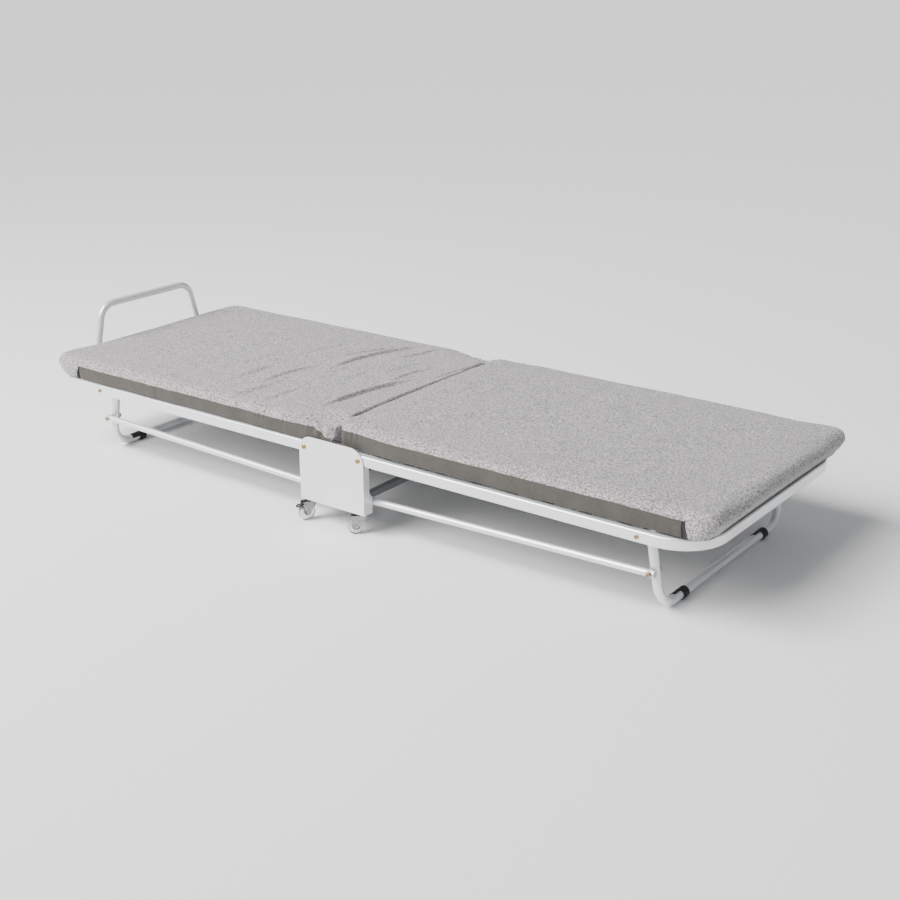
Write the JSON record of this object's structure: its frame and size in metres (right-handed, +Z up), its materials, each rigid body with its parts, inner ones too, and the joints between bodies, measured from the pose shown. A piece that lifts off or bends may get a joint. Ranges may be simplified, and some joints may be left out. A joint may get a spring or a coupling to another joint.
{
  "type": "folding cot",
  "caption": "Low folding cot: two padded tube-frame halves hinged on a wheeled trolley, with U legs that links fold flat as each half rises, and a head handle.",
  "frame": {"origin": "on the floor, under the centre of the whole cot when it is open; the trolley's middle is 13 mm along +X from it", "axes": "+X along the cot towards the foot end, the head handle is at -X; +Y across the cot; +Z up"},
  "size_m": [1.922, 0.7156, 0.3495],
  "materials": {
    "painted_steel": "satin powder coat, light blue-grey",
    "zinc_bolt": "yellow zinc plate",
    "zinc_nut": "zinc plate",
    "black_metal": "black, satin",
    "black_plastic": "matte",
    "nylon": "natural nylon",
    "rubber_foot": "matte",
    "clear_wheel": "clear polyurethane",
    "grey_plastic": "matte",
    "ticking": "heather grey woven ticking"
  },
  "bodies": {
    "trolley": {"side_plate_near": "painted_steel", "side_plate_far": "painted_steel", "cross_tube_head": "black_metal", "cross_tube_foot": "black_metal", "stop_pins": "painted_steel", "pivot_bolts": "zinc_bolt", "pivot_nuts": "zinc_nut", "pivot_washers": "nylon", "link_studs": "zinc_nut", "link_spacers": "zinc_nut", "link_stud_nuts": "zinc_nut", "caster_stems": "zinc_nut", "caster_caps": "black_metal"},
    "head_half": {"head_frame": "painted_steel", "head_rail_plugs": "black_plastic", "head_deck_slats": "painted_steel", "head_mattress": "ticking", "head_leg_bolts": "zinc_bolt", "head_leg_spacers": "zinc_nut", "head_leg_nuts": "zinc_nut", "head_handle": "painted_steel"},
    "head_leg": {"head_leg_tube": "painted_steel", "head_leg_caps": "black_plastic", "head_feet": "rubber_foot"},
    "head_links": {"head_link_near": "painted_steel", "head_link_far": "painted_steel", "head_link_caps": "black_plastic", "head_link_bolts": "zinc_bolt", "head_link_washers": "zinc_nut", "head_link_nuts": "zinc_nut"},
    "foot_half": {"foot_frame": "painted_steel", "foot_rail_plugs": "black_plastic", "foot_deck_slats": "painted_steel", "foot_mattress": "ticking", "foot_leg_bolts": "zinc_bolt", "foot_leg_spacers": "zinc_nut", "foot_leg_nuts": "zinc_nut"},
    "foot_leg": {"foot_leg_tube": "painted_steel", "foot_leg_caps": "black_plastic", "foot_feet": "rubber_foot"},
    "foot_links": {"foot_link_near": "painted_steel", "foot_link_far": "painted_steel", "foot_link_caps": "black_plastic", "foot_link_bolts": "zinc_bolt", "foot_link_washers": "zinc_nut", "foot_link_nuts": "zinc_nut"},
    "head_near_caster": {"head_near_fork": "zinc_nut"},
    "head_near_roller": {"head_near_wheel": "clear_wheel", "head_near_hub": "grey_plastic"},
    "head_near_pedal": {"head_near_brake_pedal": "black_plastic"},
    "foot_near_caster": {"foot_near_fork": "zinc_nut"},
    "foot_near_roller": {"foot_near_wheel": "clear_wheel", "foot_near_hub": "grey_plastic"},
    "head_far_caster": {"head_far_fork": "zinc_nut"},
    "head_far_roller": {"head_far_wheel": "clear_wheel", "head_far_hub": "grey_plastic"},
    "head_far_pedal": {"head_far_brake_pedal": "black_plastic"},
    "foot_far_caster": {"foot_far_fork": "zinc_nut"},
    "foot_far_roller": {"foot_far_wheel": "clear_wheel", "foot_far_hub": "grey_plastic"}
  },
  "joints": [
    {"name": "head_fold", "type": "hinge", "parent": "trolley", "child": "head_half", "pos_m": [-0.067, 0, 0.18], "axis": [0, 1, 0], "range_deg": [0, 90]},
    {"name": "head_leg_turn", "type": "hinge", "parent": "head_half", "child": "head_leg", "pos_m": [-0.7714, 0, 0.18], "axis": [0, -1, 0], "range_deg": [0, 100.5]},
    {"name": "head_link_turn", "type": "hinge", "parent": "trolley", "child": "head_links", "pos_m": [-0.0663, 0, 0.0745], "axis": [0, 1, 0], "range_deg": [0, 88.5]},
    {"name": "foot_fold", "type": "hinge", "parent": "trolley", "child": "foot_half", "pos_m": [0.093, 0, 0.18], "axis": [0, -1, 0], "range_deg": [0, 90]},
    {"name": "foot_leg_turn", "type": "hinge", "parent": "foot_half", "child": "foot_leg", "pos_m": [0.7974, 0, 0.18], "axis": [0, 1, 0], "range_deg": [0, 100.5]},
    {"name": "foot_link_turn", "type": "hinge", "parent": "trolley", "child": "foot_links", "pos_m": [0.0923, 0, 0.0745], "axis": [0, -1, 0], "range_deg": [0, 88.5]},
    {"name": "head_near_swivel", "type": "hinge", "parent": "trolley", "child": "head_near_caster", "pos_m": [-0.063, -0.316, 0.045], "axis": [0, 0, 1], "continuous": true},
    {"name": "head_near_roll", "type": "hinge", "parent": "head_near_caster", "child": "head_near_roller", "pos_m": [-0.06909, -0.33187, 0.02], "axis": [0.9336, -0.3584, 0], "continuous": true},
    {"name": "head_near_brake", "type": "hinge", "parent": "head_near_caster", "child": "head_near_pedal", "pos_m": [-0.0716, -0.33841, 0.041], "axis": [0.9336, -0.3584, 0], "range_deg": [0, 8]},
    {"name": "foot_near_swivel", "type": "hinge", "parent": "trolley", "child": "foot_near_caster", "pos_m": [0.089, -0.316, 0.045], "axis": [0, 0, 1], "continuous": true},
    {"name": "foot_near_roll", "type": "hinge", "parent": "foot_near_caster", "child": "foot_near_roller", "pos_m": [0.07677, -0.32781, 0.02], "axis": [0.6947, -0.7193, 0], "continuous": true},
    {"name": "head_far_swivel", "type": "hinge", "parent": "trolley", "child": "head_far_caster", "pos_m": [-0.063, 0.316, 0.045], "axis": [0, 0, 1], "continuous": true},
    {"name": "head_far_roll", "type": "hinge", "parent": "head_far_caster", "child": "head_far_roller", "pos_m": [-0.06909, 0.33187, 0.02], "axis": [-0.9336, -0.3584, 0], "continuous": true},
    {"name": "head_far_brake", "type": "hinge", "parent": "head_far_caster", "child": "head_far_pedal", "pos_m": [-0.0716, 0.33841, 0.041], "axis": [-0.9336, -0.3584, 0], "range_deg": [0, 8]},
    {"name": "foot_far_swivel", "type": "hinge", "parent": "trolley", "child": "foot_far_caster", "pos_m": [0.089, 0.316, 0.045], "axis": [0, 0, 1], "continuous": true},
    {"name": "foot_far_roll", "type": "hinge", "parent": "foot_far_caster", "child": "foot_far_roller", "pos_m": [0.07677, 0.32781, 0.02], "axis": [-0.6947, -0.7193, 0], "continuous": true}
  ],
  "couplings": [
    {"joint": "head_leg_turn", "follows": "head_fold", "ratio": 1.115},
    {"joint": "head_link_turn", "follows": "head_fold", "ratio": 0.981},
    {"joint": "foot_leg_turn", "follows": "foot_fold", "ratio": 1.115},
    {"joint": "foot_link_turn", "follows": "foot_fold", "ratio": 0.981}
  ]
}
